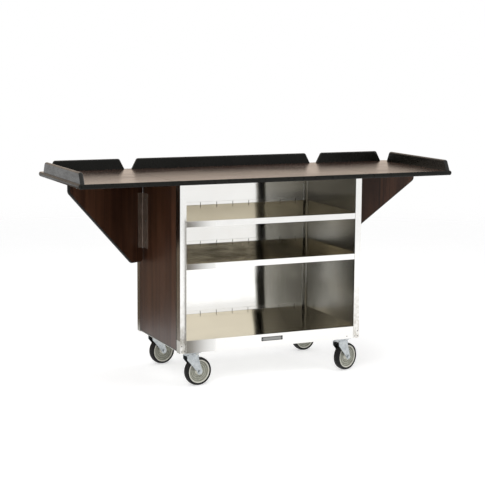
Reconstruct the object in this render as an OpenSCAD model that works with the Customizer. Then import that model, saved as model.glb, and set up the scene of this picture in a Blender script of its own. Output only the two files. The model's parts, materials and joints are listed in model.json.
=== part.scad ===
// Food service trolley: an open steel shelf cabinet on swivel casters, under a long top
// whose two drop leaves stand raised on hinged brackets.
// Origin: on the floor under the middle. +X to the right, +Y to the back, +Z up.

/* [Top] */
// How far the centre top overhangs the cabinet at each side
side_overhang = 41.5; // [36:0.5:80]
// How far the top overhangs the cabinet's front and back
end_overhang = 37; // [25:1:60]
// Length of each drop leaf, from the joint gap to its end
leaf_len = 417; // [340:1:520]
// Gap between the centre top and a leaf
leaf_gap = 2; // [2:0.5:4]
// Thickness of the top
top_t = 20; // [18:1:26]
// Height of the top surface above the floor
top_z = 923; // [760:1:1120]
// How far the bullnose edging bulges out
edge_bulge = 5; // [3:0.5:7]
// Radius of the board's outer corners inside the edging
corner_r = 8; // [4:1:16]

/* [Rails] */
// Height of the rails above the top
rail_h = 48.5; // [30:0.5:70]
// Thickness of the rails
rail_t = 19; // [15:1:22]
// Distance from the top's edge to a rail's outer face
rail_inset = 8; // [6:1:14]
// Horizontal run of a rail's slanted end
rail_slant = 25.4; // [15:0.1:40]
// Distance from a leaf joint to the foot of a rail, on the centre top
centre_rail_gap = 22; // [12:1:40]
// Distance from a leaf joint to the foot of a rail, on the leaf
leaf_rail_gap = 11; // [8:1:30]
// Distance from a leaf's end to the foot of its rear rail
rear_rail_end_gap = 43; // [35:1:80]
// Distance from the rear edge to the foot of an end rail
end_rail_rear_gap = 53; // [35:1:80]

/* [Cabinet] */
// Width of the cabinet
body_w = 889; // [740:1:1080]
// Depth of the cabinet
body_d = 548; // [450:1:660]
// Thickness of the steel sheet
sheet = 1.5; // [1:0.1:2]
// Width of a front stile
stile_w = 30; // [25:1:40]
// Depth of a stile's inner return
stile_return = 20; // [15:1:30]
// Depth of the outer steel strip in front of a side panel
front_strip = 42; // [35:1:60]
// Depth of the outer steel strip behind a side panel
rear_strip = 35; // [25:1:50]
// Distance from the top's underside down to the upper shelf's surface
upper_shelf_drop = 161; // [120:1:220]
// Distance from the upper shelf's surface down to the middle shelf's
middle_shelf_drop = 187; // [120:1:240]
// Height of the base shelf's surface above the cabinet's lower edge
base_lip_h = 56.5; // [45:0.5:80]
// Height of the front lip of the upper and middle shelves
lip_h = 26; // [20:1:40]
// How far the front lips stand behind the stiles' faces
lip_recess = 1; // [0.5:0.5:3]
// Height of the shelves' rear upstands
upstand_h = 15; // [10:1:25]
// Thickness of a walnut side panel
side_panel_t = 7; // [6:0.5:9]
// How far a side panel stands proud of the steel strips
side_panel_proud = 0.5; // [0:0.1:1]
// Width of the trim around a side panel
side_trim_w = 4; // [3:0.5:6]
// Width of the nameplate
nameplate_w = 104; // [60:1:140]
// Height of the nameplate
nameplate_h = 18; // [12:1:24]

/* [Leaf brackets] */
// Distance from an open bracket's outer end to the leaf's end, along the trolley
bracket_end_gap = 44; // [20:1:80]
// Thickness of a bracket
bracket_t = 19; // [15:1:22]
// Distance from the top's underside down to a bracket's foot
bracket_drop = 403; // [360:1:460]
// Distance from the top's underside down to a bracket's top edge
bracket_top_gap = 11; // [11:0.5:16]
// Length of a bracket's level foot
bracket_foot = 66; // [50:1:90]
// Height of a bracket's upright outer edge
bracket_nose_h = 34; // [25:1:60]
// Bulge of a bracket's edging
bracket_edge_bulge = 4; // [2:0.5:5]
// Distance from the cabinet's back to a bracket's pin
bracket_pin_inset = 90; // [70:1:110]
// Distance that a bracket's inner edge reaches past its pin
bracket_rear_reach = 9; // [0:1:9]
// Angle of an open bracket forward of straight out
bracket_open_angle = 28.5; // [20:0.5:35]
// Height of a bracket hinge
bracket_hinge_h = 254; // [180:1:280]
// Distance from the top's underside down to a bracket hinge
bracket_hinge_drop = 81; // [60:1:90]
// Width of a bracket hinge's plate on the side panel
bracket_plate_w = 58; // [40:1:60]
// Width of a bracket hinge's flap on the bracket
bracket_flap_w = 26; // [25:1:50]

/* [Hinges] */
// Radius of a hinge barrel
barrel_r = 4; // [3.5:0.1:4.2]
// Radius of a hinge pin
pin_r = 2.2; // [1.8:0.1:2.6]
// Thickness of a hinge plate
hinge_t = 2; // [1.5:0.1:2.2]
// Length of a leaf hinge
leaf_hinge_len = 102; // [80:1:110]
// Width of a leaf hinge's plate or flap
leaf_hinge_w = 34; // [30:1:36]

/* [Casters] */
// Diameter of a caster wheel
wheel_d = 127; // [100:1:155]
// Width of a tyre
tyre_w = 31; // [26:1:32]
// Depth of a tyre from its tread to its rim
tyre_depth = 10.5; // [8:0.5:14]
// Distance from a wheel's top to the top of its caster's plate
wheel_top_gap = 32.5; // [31:0.5:50]
// Horizontal distance from a swivel axis to its axle
caster_trail = 36; // [25:1:40]
// Size of a caster plate along the trolley
caster_plate_w = 67; // [67:1:80]
// Size of a caster plate across the trolley
caster_plate_d = 92; // [88:1:110]
// Thickness of a caster plate
caster_plate_t = 3; // [2.5:0.5:4]
// Distance from the cabinet's side to a swivel axis
caster_side_inset = 70.5; // [68:0.5:110]
// Distance from the cabinet's front or back to a swivel axis
caster_end_inset = 52; // [52:1:100]
// Radius of an axle bolt
axle_r = 4.7; // [4:0.1:5.5]
// Radius of a kingpin
kingpin_r = 6; // [5:0.5:7]

/* [Hidden] */
SIDES = ["left", "right"];
$fn = 64;

// Clearances
touch_gap = 0.3;        // between pieces that rest beside each other or slide past
pin_clear = 0.05;       // radial, around a pin or an axle
edging_seam = 0.05;     // between the lengths of one slanted edging, and between it and its board
leaf_seat_gap = 0.4;    // between a bracket's glide and the leaf that it carries

// Colours
steel = "#d8d6d0";
walnut = "#4a2f20";
laminate = "#54382a";
black = "#1b1b17";
bronze = "#5a4a40";
zinc = "#c8d4d8";
wheel_grey = "#c9c6b8";

// Levels
caster_h = wheel_d + wheel_top_gap;
under_top = top_z - top_t;
body_z0 = caster_h;
upper_shelf_z = under_top - upper_shelf_drop;
middle_shelf_z = upper_shelf_z - middle_shelf_drop;
base_shelf_z = body_z0 + base_lip_h;

// Places along and across the trolley
centre_len = body_w + 2 * side_overhang;
top_depth = body_d + 2 * end_overhang;
joint_x = (centre_len + leaf_gap) / 2;
leaf_x0 = centre_len / 2 + leaf_gap;
leaf_x1 = leaf_x0 + leaf_len;
body_x = body_w / 2;
body_y = body_d / 2;
panel_recess = side_panel_t - side_panel_proud;
inner_x = body_x - panel_recess - sheet;    // inner face of a side wall
inner_y = body_y - 2 * sheet;               // inner face of the back panel
panel_x = body_x + side_panel_proud;        // outer face of a side panel

// Side panels
panel_bottom_gap = 7.5;
panel_top_gap = 3;
panel_y0 = -body_y + front_strip;
panel_y1 = body_y - rear_strip;
panel_z0 = body_z0 + panel_bottom_gap;
panel_z1 = under_top - panel_top_gap;

// Cabinet details
rear_flange = 20;
top_flange = 25;
top_flange_y = body_y - stile_return - 4;
hem = 8;
shelf_side_flange = 15;
stile_clear = 0.2;
channel_t = 2.5;
channel_w = 76;
channel_foot = 12;
channel_y0 = -body_y + lip_recess + hem + touch_gap;
channel_y1 = inner_y - 4;
nameplate_t = 1.2;
nameplate_rise = 6;     // above the middle of the base lip
nameplate_z = (base_shelf_z + body_z0) / 2 + nameplate_rise;

// Rails
rail_corner_r = 7;
rail_overrun = 0.3;     // how far the slants of a rail's edging are drawn below its foot, as a share

// Screws
screw_r = 2;
screw_head_r = 4;
screw_head_h = 1.8;
screw_len = 12;
top_screw_end_gap = 50;
top_screw_y = [for (i = [-1:1]) i * (top_flange_y - top_screw_end_gap)];

// Leaf hinges
pin_drop = barrel_r + 0.5;      // from a hinge's mounting face to its pin
leaf_hinge_front_inset = 206;   // from the top's front edge to the front hinges' middle
leaf_hinge_rear_inset = 121;    // from the top's rear edge to the rear hinges' middle
leaf_hinge_y = [-top_depth / 2 + leaf_hinge_front_inset, top_depth / 2 - leaf_hinge_rear_inset];
leaf_hinge_knuckles = 5;
leaf_screw_end_gap = 15;
leaf_hinge_screws = [for (i = [-1, 1]) i * (leaf_hinge_len / 2 - leaf_screw_end_gap)];
pin_head_r = 3;
pin_head_h = 1.5;

// Leaf brackets, in their own frame: x from the pin along the bracket, y through it, z up
bracket_pin_x = panel_x + pin_drop;
bracket_pin_y = body_y - bracket_pin_inset;
bracket_len = (leaf_x1 - bracket_end_gap - bracket_pin_x) / cos(bracket_open_angle);
bracket_z0 = under_top - bracket_drop;
bracket_z1 = under_top - bracket_top_gap;
bracket_core_x0 = bracket_edge_bulge - bracket_rear_reach;
bracket_core_x1 = bracket_len - bracket_edge_bulge;
bracket_core_z0 = bracket_z0 + bracket_edge_bulge;
BRACKET = [
    [bracket_core_x0, bracket_z1],
    [bracket_core_x0, bracket_core_z0],
    [bracket_foot, bracket_core_z0],
    [bracket_core_x1, bracket_z1 - bracket_nose_h],
    [bracket_core_x1, bracket_z1],
];
bracket_nose_r = min(22, 0.65 * bracket_nose_h);
BRACKET_R = [0, 12, 22, bracket_nose_r, 0];
BRACKET_BARE = [4];
bracket_hinge_z0 = under_top - bracket_hinge_drop - bracket_hinge_h;
bracket_hinge_knuckles = 5;
bracket_screw_end_gap = 27;
bracket_hinge_screws = [for (i = [-1:1]) i * (bracket_hinge_h / 2 - bracket_screw_end_gap)];
glide_len = 60;
glide_w = 15;
glide_end_gap = 16;
stop_len = 20;
stop_w = 14;
stop_h = 28;
stop_end_gap = 21;

// Casters, in their own frame: x along the trail, y along the axle, z up from the floor
caster_x = body_x - caster_side_inset;
caster_y = body_y - caster_end_inset;
CASTERS = [
    // name, place along x, place along y, heading of the trail
    ["front_left", -caster_x, -caster_y, 8],
    ["front_right", caster_x, -caster_y, 19],
    ["rear_left", -caster_x, caster_y, 12],
    ["rear_right", caster_x, caster_y, 10],
];
wheel_r = wheel_d / 2;
rim_r = wheel_r - tyre_depth;
tread_crown = 3;
tyre_side_clear = 2.5;
fork_in = tyre_w / 2 + tyre_side_clear;
fork_t = 3;
race_r = 25;
race_h = 7.5;
dish_r = 27;
dish_h = 6.7;
race_z = caster_h - caster_plate_t - race_h;
crown_z1 = race_z - touch_gap - dish_h;
crown_z0 = crown_z1 - fork_t;
crown_front = 27;
crown_rear = 31;
leg_shoulder = 20;
leg_end_r = 13;
kingpin_head_r = 10;
kingpin_head_t = 3;
boss_r = 15;
ring_r = 24;
rim_lip = 8;
web_step = 3.5;
bolt_head_h = 5;
bolt_head_r = 8;
nut_h = 7;
plate_bolt_r = 4;
plate_bolt_edge = 12;
plate_bolt_x = caster_plate_w / 2 - plate_bolt_edge;
plate_bolt_y = caster_plate_d / 2 - plate_bolt_edge;
plate_bolt_head_r = 7;

// Half of a wheel's section, from its bore to its rim: x from the axle outward, y from its middle
bore_r = axle_r + pin_clear;
boss_half = fork_in - touch_gap;
rim_half = tyre_w / 2 - 1;
rim_in = rim_r - rim_lip;
WHEEL = [
    [bore_r, boss_half], [boss_r, boss_half], [boss_r, rim_half - web_step], [ring_r, rim_half - web_step],
    [ring_r, rim_half - 2 * web_step], [rim_in, rim_half - 2 * web_step], [rim_in, rim_half],
    [rim_r, rim_half],
];

// ---------------------------------------------------------------- outlines

function unit(a) = [cos(a), sin(a)];
function heading(p, q) = atan2(q[1] - p[1], q[0] - p[0]);
function left_turn(a, b) = (b - a + 720) % 360;
function before(V, i) = V[(i + len(V) - 1) % len(V)];
function after(V, i) = V[(i + 1) % len(V)];
function heading_in(V, i) = heading(before(V, i), V[i]);
function heading_out(V, i) = heading(V[i], after(V, i));
// Distance from corner i to where its arc of radius R[i] starts
function arc_reach(V, R, i) = R[i] * tan(left_turn(heading_in(V, i), heading_out(V, i)) / 2);
function arc_start(V, R, i) = V[i] - arc_reach(V, R, i) * unit(heading_in(V, i));
function arc_end(V, R, i) = V[i] + arc_reach(V, R, i) * unit(heading_out(V, i));
function arc_centre(V, R, i) = arc_start(V, R, i) + R[i] * unit(heading_in(V, i) + 90);

// A convex outline, listed anticlockwise, with corner i rounded to radius R[i]
module rounded(V, R) {
    polygon([for (i = [0:len(V) - 1])
        for (p = R[i] > 0 ? [arc_start(V, R, i), arc_end(V, R, i)] : [V[i]]) p]);
    for (i = [0:len(V) - 1])
        if (R[i] > 0) translate(arc_centre(V, R, i)) circle(R[i]);
}

// Half of a bullnose: h tall, bulging d toward +X
module bullnose(d, h) {
    r = (h * h / 4 + d * d) / (2 * d);
    intersection() {
        translate([d - r, 0]) circle(r);
        translate([0, -h / 2]) square([d, h]);
    }
}

// Bullnose edging around an outline, without its bare edges. Edge i starts at corner i.
// Its lengths stand a seam apart and a seam off the board.
module edging(V, R, d, h, bare, seam = 0) {
    for (i = [0:len(V) - 1]) {
        run = norm(arc_start(V, R, (i + 1) % len(V)) - arc_end(V, R, i));
        if (len(search(i, bare)) == 0)
            translate(arc_end(V, R, i)) rotate([0, 0, heading_out(V, i)]) translate([seam, -seam, 0])
                rotate([90, 0, 90]) linear_extrude(run - 2 * seam) mirror([1, 0]) bullnose(d, h);
        if (R[i] > 0)
            translate(arc_centre(V, R, i)) rotate([0, 0, heading_in(V, i) - 90])
                rotate_extrude(angle = left_turn(heading_in(V, i), heading_out(V, i)))
                    translate([R[i] + seam, 0]) bullnose(d, h);
    }
}

// Stands a flat shape up: its x stays, its y points up, and its z points to -Y
module upright() {
    rotate([90, 0, 0]) children();
}

module box(low, high) {
    translate(low) cube(high - low);
}

module on_side(side) {
    mirror([side == "left" ? 1 : 0, 0, 0]) children();
}

module both_sides() {
    for (side = SIDES) on_side(side) children();
}

// ---------------------------------------------------------------- screws and hinges

// A screw with its head above z = 0 and its shank below
module screw(length = screw_len) {
    cylinder(r = screw_head_r, h = screw_head_h);
    translate([0, 0, -length]) cylinder(r = screw_r, h = length);
}

module screw_hole(length = screw_len) {
    translate([0, 0, -length]) cylinder(r = screw_r + pin_clear, h = length + screw_head_h);
}

// Half of a butt hinge, pin along Z, plate toward +X, mounting face at y = pin_drop.
// The knuckles with number % 2 == parity belong to this half.
module hinge_half(width, height, knuckles, parity, screw_at) {
    pitch = height / knuckles;
    difference() {
        union() {
            translate([barrel_r + touch_gap, pin_drop - hinge_t, -height / 2])
                cube([width - barrel_r - touch_gap, hinge_t, height]);
            for (i = [0:knuckles - 1])
                if (i % 2 == parity) translate([0, 0, i * pitch - height / 2 + touch_gap / 2]) {
                    cylinder(r = barrel_r, h = pitch - touch_gap);
                    translate([0, pin_drop - hinge_t, 0])
                        cube([width / 2, hinge_t, pitch - touch_gap]);
                }
        }
        translate([0, 0, -height / 2]) cylinder(r = pin_r + pin_clear, h = height);
        for (z = screw_at) hinge_screw_place(width, z) screw_hole();
    }
}

// Puts a screw on a hinge half, with its head on the face that is away from the mounting face
module hinge_screw_place(width, z) {
    translate([(width + barrel_r) / 2, pin_drop - hinge_t, z]) rotate([90, 0, 0]) children();
}

module hinge_half_screws(width, screw_at, length = screw_len) {
    for (z = screw_at) hinge_screw_place(width, z) screw(length);
}

module hinge_pin(height) {
    translate([0, 0, -height / 2]) cylinder(r = pin_r, h = height);
    for (flip = [0, 1]) mirror([0, 0, flip])
        translate([0, 0, height / 2]) cylinder(r = pin_head_r, h = pin_head_h);
}

// Pin frames of the hinges on the right-hand side
module leaf_flap_frame() {
    for (y = leaf_hinge_y) translate([joint_x, y, under_top - pin_drop]) upright() children();
}

module leaf_plate_frame() {
    for (y = leaf_hinge_y)
        translate([joint_x, y, under_top - pin_drop]) mirror([1, 0, 0]) upright() children();
}

module bracket_plate_frame() {
    translate([bracket_pin_x, bracket_pin_y, bracket_hinge_z0 + bracket_hinge_h / 2])
        rotate([0, 0, -90]) mirror([0, 1, 0]) children();
}

module bracket_frame() {
    translate([bracket_pin_x, bracket_pin_y, 0]) rotate([0, 0, -bracket_open_angle]) children();
}

module bracket_flap_frame() {
    bracket_frame() translate([0, 0, bracket_hinge_z0 + bracket_hinge_h / 2]) children();
}

// ---------------------------------------------------------------- cabinet

module back_panel() {
    color(steel)
        box([-inner_x, inner_y, body_z0], [inner_x, inner_y + sheet, under_top]);
}

// Section of the right side wall, seen from above
module side_wall_section() {
    translate([body_x - stile_w, -body_y]) square([stile_w, sheet]);
    translate([body_x - stile_w, -body_y]) square([sheet, stile_return]);
    translate([body_x - sheet, -body_y]) square([sheet, front_strip]);
    translate([inner_x, panel_y0 - sheet]) square([body_x - inner_x, sheet]);
    translate([inner_x, panel_y0 - sheet]) square([sheet, panel_y1 - panel_y0 + 2 * sheet]);
    translate([inner_x, panel_y1]) square([body_x - inner_x, sheet]);
    translate([body_x - sheet, panel_y1]) square([sheet, rear_strip]);
    translate([body_x - rear_flange, body_y - sheet]) square([rear_flange, sheet]);
}

module side_wall(side) {
    color(steel) on_side(side) difference() {
        union() {
            translate([0, 0, body_z0]) linear_extrude(under_top - body_z0) side_wall_section();
            box([inner_x - top_flange, -top_flange_y, under_top - sheet],
                [inner_x + sheet, top_flange_y, under_top]);
        }
        top_screw_places() screw_hole();
    }
}

// The screws that hold the centre top down, heads below the right side wall's top flange
module top_screw_places() {
    for (y = top_screw_y)
        translate([inner_x - top_flange / 2, y, under_top - sheet]) rotate([180, 0, 0]) children();
}

module side_panel(side) {
    color(walnut) on_side(side) difference() {
        box([panel_x - side_panel_t, panel_y0 + side_trim_w, panel_z0 + side_trim_w],
            [panel_x, panel_y1 - side_trim_w, panel_z1 - side_trim_w]);
        bracket_plate_frame() for (z = bracket_hinge_screws)
            hinge_screw_place(bracket_plate_w, z) screw_hole(side_panel_t + hinge_t);
    }
}

module side_trim(side) {
    color(black) on_side(side) difference() {
        box([panel_x - side_panel_t, panel_y0, panel_z0], [panel_x, panel_y1, panel_z1]);
        box([panel_x - side_panel_t - 1, panel_y0 + side_trim_w, panel_z0 + side_trim_w],
            [panel_x + 1, panel_y1 - side_trim_w, panel_z1 - side_trim_w]);
    }
}

// One folded sheet: shelf, front lip with a hem, side flanges and a rear upstand
module shelf(z, lip) {
    half_w = inner_x;
    front_half_w = body_x - stile_w - stile_clear;
    front_y = -body_y + lip_recess;
    notch_y = -body_y + stile_return + stile_clear;
    color(steel) {
        box([-half_w, notch_y, z - sheet], [half_w, inner_y, z]);
        box([-front_half_w, front_y, z - sheet], [front_half_w, notch_y, z]);
        box([-front_half_w, front_y, z - lip], [front_half_w, front_y + sheet, z]);
        box([-front_half_w, front_y, z - lip], [front_half_w, front_y + hem, z - lip + sheet]);
        box([-half_w, inner_y - sheet, z - sheet], [half_w, inner_y, z + upstand_h]);
        both_sides()
            box([half_w - sheet, notch_y, z - shelf_side_flange], [half_w, inner_y, z]);
    }
}

module upper_shelf() {
    shelf(upper_shelf_z, lip_h);
}

module middle_shelf() {
    shelf(middle_shelf_z, lip_h);
}

module base_shelf() {
    shelf(base_shelf_z, base_lip_h);
}

// Two channels under the base shelf, each over one pair of casters
module caster_channels() {
    top = base_shelf_z - sheet;
    color(steel) both_sides() difference() {
        translate([caster_x - channel_w / 2, channel_y0, body_z0]) union() {
            cube([channel_w, channel_y1 - channel_y0, channel_t]);
            for (x = [0, channel_w - channel_t])
                translate([x, 0, 0]) cube([channel_t, channel_y1 - channel_y0, top - body_z0]);
            for (x = [0, channel_w - channel_foot])
                translate([x, 0, top - body_z0 - channel_t])
                    cube([channel_foot, channel_y1 - channel_y0, channel_t]);
        }
        for (y = [-caster_y, caster_y])
            translate([caster_x, y, 0]) plate_bolt_places()
                cylinder(r = plate_bolt_r + pin_clear, h = caster_h * 2);
    }
}

module nameplate() {
    color("#8a8a84")
        box([-nameplate_w / 2, -body_y + lip_recess - nameplate_t, nameplate_z - nameplate_h / 2],
            [nameplate_w / 2, -body_y + lip_recess, nameplate_z + nameplate_h / 2]);
}

// Screws through the top flanges, and those of the fixed hinge plates
module cabinet_screws() {
    color(zinc) both_sides() {
        top_screw_places() screw();
        leaf_plate_frame() hinge_half_screws(leaf_hinge_w, leaf_hinge_screws);
        bracket_plate_frame()
            hinge_half_screws(bracket_plate_w, bracket_hinge_screws, side_panel_t + hinge_t);
    }
}

// ---------------------------------------------------------------- top

function board_corners(x0, x1) = let (y = top_depth / 2 - edge_bulge)
    [[x0, -y], [x1, -y], [x1, y], [x0, y]];
CENTRE = board_corners(-centre_len / 2, centre_len / 2);
CENTRE_R = [0, 0, 0, 0];
CENTRE_BARE = [1, 3];
LEAF = board_corners(leaf_x0, leaf_x1 - edge_bulge);
LEAF_R = [0, corner_r, corner_r, 0];
LEAF_BARE = [3];

module board(V, R) {
    translate([0, 0, under_top]) linear_extrude(top_t) rounded(V, R);
}

module board_edging(V, R, bare) {
    translate([0, 0, under_top + top_t / 2]) edging(V, R, edge_bulge, top_t, bare);
}

module centre_top() {
    color(laminate) difference() {
        board(CENTRE, CENTRE_R);
        both_sides() {
            top_screw_places() screw_hole();
            leaf_plate_frame() for (z = leaf_hinge_screws) hinge_screw_place(leaf_hinge_w, z) screw_hole();
        }
    }
}

module centre_top_edging() {
    color(black) board_edging(CENTRE, CENTRE_R, CENTRE_BARE);
}

module leaf(side) {
    color(laminate) on_side(side) difference() {
        board(LEAF, LEAF_R);
        leaf_flap_frame() for (z = leaf_hinge_screws) hinge_screw_place(leaf_hinge_w, z) screw_hole();
    }
}

module leaf_edging(side) {
    color(black) on_side(side) board_edging(LEAF, LEAF_R, LEAF_BARE);
}

// A rail from x0 to x1 at its foot, standing on z = 0, its rear face at y = 0
module rail(x0, x1) {
    reach = edge_bulge / cos(atan(rail_slant / rail_h));    // level width of the edging on a slant
    z1 = rail_h - edge_bulge;
    inset = rail_slant * z1 / rail_h;
    V = [[x0 + reach, 0], [x1 - reach, 0], [x1 - reach - inset, z1], [x0 + reach + inset, z1]];
    R = [0, 0, rail_corner_r, rail_corner_r];
    run = x1 - x0;
    translate([0, -rail_t / 2, 0]) {
        translate([0, rail_t / 2, 0]) upright() linear_extrude(rail_t) rounded(V, R);
        intersection() {
            upright() edging(rail_path(V), R, edge_bulge, rail_t, [0], edging_seam);
            translate([x0 - run, -rail_t, 0]) cube([3 * run, 2 * rail_t, 2 * rail_h]);
        }
    }
}

// The outline of a rail with its slants carried on below its foot, so that the edging meets the top
function rail_path(V) =
    [V[0] - rail_overrun * (V[3] - V[0]), V[1] - rail_overrun * (V[2] - V[1]), V[2], V[3]];

module centre_rear_rail() {
    x = centre_len / 2 - centre_rail_gap;
    color(black) translate([0, top_depth / 2 - rail_inset, top_z]) rail(-x, x);
}

module leaf_rear_rail(side) {
    color(black) on_side(side) translate([0, top_depth / 2 - rail_inset, top_z])
        rail(leaf_x0 + leaf_rail_gap, leaf_x1 - rear_rail_end_gap);
}

module end_rail(side) {
    front = -top_depth / 2 + rail_inset;
    rear = top_depth / 2 - end_rail_rear_gap;
    color(black) on_side(side) translate([leaf_x1 - rail_inset, 0, top_z]) rotate([0, 0, -90])
        rail(-rear, -front);
}

// ---------------------------------------------------------------- hinges of the leaves and brackets

module leaf_hinge_plates() {
    color(bronze) both_sides() leaf_plate_frame()
        hinge_half(leaf_hinge_w, leaf_hinge_len, leaf_hinge_knuckles, 0, leaf_hinge_screws);
}

module leaf_hinge_flaps(side) {
    color(bronze) on_side(side) leaf_flap_frame() {
        hinge_half(leaf_hinge_w, leaf_hinge_len, leaf_hinge_knuckles, 1, leaf_hinge_screws);
        hinge_half_screws(leaf_hinge_w, leaf_hinge_screws);
    }
}

module bracket_hinge_plates() {
    color(bronze) both_sides() bracket_plate_frame()
        hinge_half(bracket_plate_w, bracket_hinge_h, bracket_hinge_knuckles, 0, bracket_hinge_screws);
}

module bracket_hinge_flap(side) {
    color(bronze) on_side(side) bracket_flap_frame() {
        hinge_half(bracket_flap_w, bracket_hinge_h, bracket_hinge_knuckles, 1, bracket_hinge_screws);
        hinge_half_screws(bracket_flap_w, bracket_hinge_screws);
    }
}

module hinge_pins() {
    color(zinc) both_sides() {
        leaf_flap_frame() hinge_pin(leaf_hinge_len);
        bracket_flap_frame() hinge_pin(bracket_hinge_h);
    }
}

// ---------------------------------------------------------------- leaf brackets

module bracket(side) {
    color(walnut) on_side(side) difference() {
        bracket_frame() translate([0, pin_drop + bracket_t, 0])
            upright() linear_extrude(bracket_t) rounded(BRACKET, BRACKET_R);
        bracket_flap_frame() for (z = bracket_hinge_screws)
            hinge_screw_place(bracket_flap_w, z) screw_hole();
    }
}

module bracket_edging(side) {
    color(black) on_side(side) bracket_frame() translate([0, pin_drop + bracket_t / 2, 0])
        upright() edging(BRACKET, BRACKET_R, bracket_edge_bulge, bracket_t, BRACKET_BARE, edging_seam);
}

// Plastic glide on a bracket's top edge, which carries the leaf
module bracket_glide(side) {
    x1 = bracket_core_x1 - glide_end_gap;
    y0 = pin_drop + (bracket_t - glide_w) / 2;
    color(black) on_side(side) bracket_frame()
        box([x1 - glide_len, y0, bracket_z1], [x1, y0 + glide_w, under_top - leaf_seat_gap]);
}

// Block under a leaf that the open bracket leans on
module bracket_stop(side) {
    x1 = bracket_len - stop_end_gap;
    y0 = pin_drop + bracket_t + touch_gap;
    color(black) on_side(side) bracket_frame()
        box([x1 - stop_len, y0, under_top - stop_h], [x1, y0 + stop_w, under_top]);
}

// ---------------------------------------------------------------- casters

module at_caster(name) {
    c = CASTERS[search([name], CASTERS)[0]];
    translate([c[1], c[2], 0]) children();
}

// The caster's own frame, turned to the heading of its trail
module in_caster(name) {
    c = CASTERS[search([name], CASTERS)[0]];
    translate([c[1], c[2], 0]) rotate([0, 0, c[3]]) children();
}

module plate_bolt_places() {
    for (x = [-plate_bolt_x, plate_bolt_x], y = [-plate_bolt_y, plate_bolt_y])
        translate([x, y, 0]) children();
}

// Top plate with its raceway and the kingpin that carries the fork
module caster_plate(name) {
    z0 = caster_h - caster_plate_t;
    head_z = crown_z0 - touch_gap - kingpin_head_t;
    color(zinc) at_caster(name) difference() {
        union() {
            translate([-caster_plate_w / 2, -caster_plate_d / 2, z0])
                cube([caster_plate_w, caster_plate_d, caster_plate_t]);
            translate([0, 0, race_z]) cylinder(r = race_r, h = race_h);
            translate([0, 0, head_z]) cylinder(r = kingpin_r, h = race_z - head_z);
            translate([0, 0, head_z]) cylinder(r = kingpin_head_r, h = kingpin_head_t);
        }
        plate_bolt_places() cylinder(r = plate_bolt_r + pin_clear, h = caster_h * 2);
    }
}

// Outline of a fork leg: x along the trail, y up
module fork_leg_outline() {
    difference() {
        union() {
            polygon([
                [-crown_front, crown_z1],
                [-crown_front, crown_z1 - leg_shoulder],
                [caster_trail - leg_end_r, wheel_r],
                [caster_trail + leg_end_r, wheel_r],
                [crown_rear, crown_z1 - leg_shoulder],
                [crown_rear, crown_z1],
            ]);
            translate([caster_trail, wheel_r]) circle(leg_end_r);
        }
        translate([caster_trail, wheel_r]) circle(axle_r + pin_clear);
    }
}

module fork(name) {
    color(zinc) in_caster(name) difference() {
        union() {
            box([-crown_front, -fork_in - fork_t, crown_z0], [crown_rear, fork_in + fork_t, crown_z1]);
            for (y = [-fork_in, fork_in + fork_t])
                translate([0, y, 0]) upright() linear_extrude(fork_t) fork_leg_outline();
            translate([0, 0, crown_z1]) cylinder(r = dish_r, h = dish_h);
        }
        cylinder(r = kingpin_r + pin_clear, h = caster_h);
    }
}

module nut(r, bore) {
    difference() {
        cylinder(r = r, h = nut_h, $fn = 6);
        cylinder(r = bore + pin_clear, h = nut_h);
    }
}

// Axle bolt with its head and nut
module axle(name) {
    half = fork_in + fork_t;
    color(zinc) in_caster(name) translate([caster_trail, 0, wheel_r]) upright() {
        translate([0, 0, -half - nut_h]) {
            cylinder(r = axle_r, h = 2 * half + nut_h);
            nut(bolt_head_r, axle_r);
        }
        translate([0, 0, half]) cylinder(r = bolt_head_r, h = bolt_head_h, $fn = 6);
    }
}

module wheel(name) {
    last = len(WHEEL) - 1;
    color(wheel_grey) in_caster(name) translate([caster_trail, 0, wheel_r]) upright()
        rotate_extrude()
            polygon([for (p = WHEEL) p, for (i = [last:-1:0]) [WHEEL[i][0], -WHEEL[i][1]]]);
}

module tyre(name) {
    color("#181818") in_caster(name) translate([caster_trail, 0, wheel_r]) upright()
        rotate_extrude() {
            translate([rim_r, -tyre_w / 2]) square([tyre_depth - tread_crown, tyre_w]);
            translate([wheel_r - tread_crown, 0]) bullnose(tread_crown, tyre_w);
        }
}

// Bolts and nuts that hold the caster plates to the channels
module caster_bolts() {
    z0 = caster_h - caster_plate_t;
    z1 = caster_h + channel_t;
    color(zinc) for (c = CASTERS) at_caster(c[0]) plate_bolt_places() {
        translate([0, 0, z0 - bolt_head_h]) cylinder(r = plate_bolt_head_r, h = bolt_head_h, $fn = 6);
        translate([0, 0, z0]) cylinder(r = plate_bolt_r, h = z1 + nut_h - z0);
        translate([0, 0, z1]) nut(plate_bolt_head_r, plate_bolt_r);
    }
}

back_panel();
side_wall("left");  // left_side_wall
side_wall("right");  // right_side_wall
side_panel("left");  // left_side_panel
side_panel("right");  // right_side_panel
side_trim("left");  // left_side_trim
side_trim("right");  // right_side_trim
upper_shelf();
middle_shelf();
base_shelf();
caster_channels();
nameplate();
cabinet_screws();
caster_bolts();
centre_top();
centre_top_edging();
centre_rear_rail();
leaf_hinge_plates();
bracket_hinge_plates();
hinge_pins();
leaf("left");  // left_leaf
leaf_edging("left");  // left_leaf_edging
leaf_rear_rail("left");  // left_leaf_rear_rail
end_rail("left");  // left_end_rail
leaf_hinge_flaps("left");  // left_leaf_hinge_flaps
bracket_stop("left");  // left_bracket_stop
leaf("right");  // right_leaf
leaf_edging("right");  // right_leaf_edging
leaf_rear_rail("right");  // right_leaf_rear_rail
end_rail("right");  // right_end_rail
leaf_hinge_flaps("right");  // right_leaf_hinge_flaps
bracket_stop("right");  // right_bracket_stop
bracket("left");  // left_bracket
bracket_edging("left");  // left_bracket_edging
bracket_hinge_flap("left");  // left_bracket_hinge_flap
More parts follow.
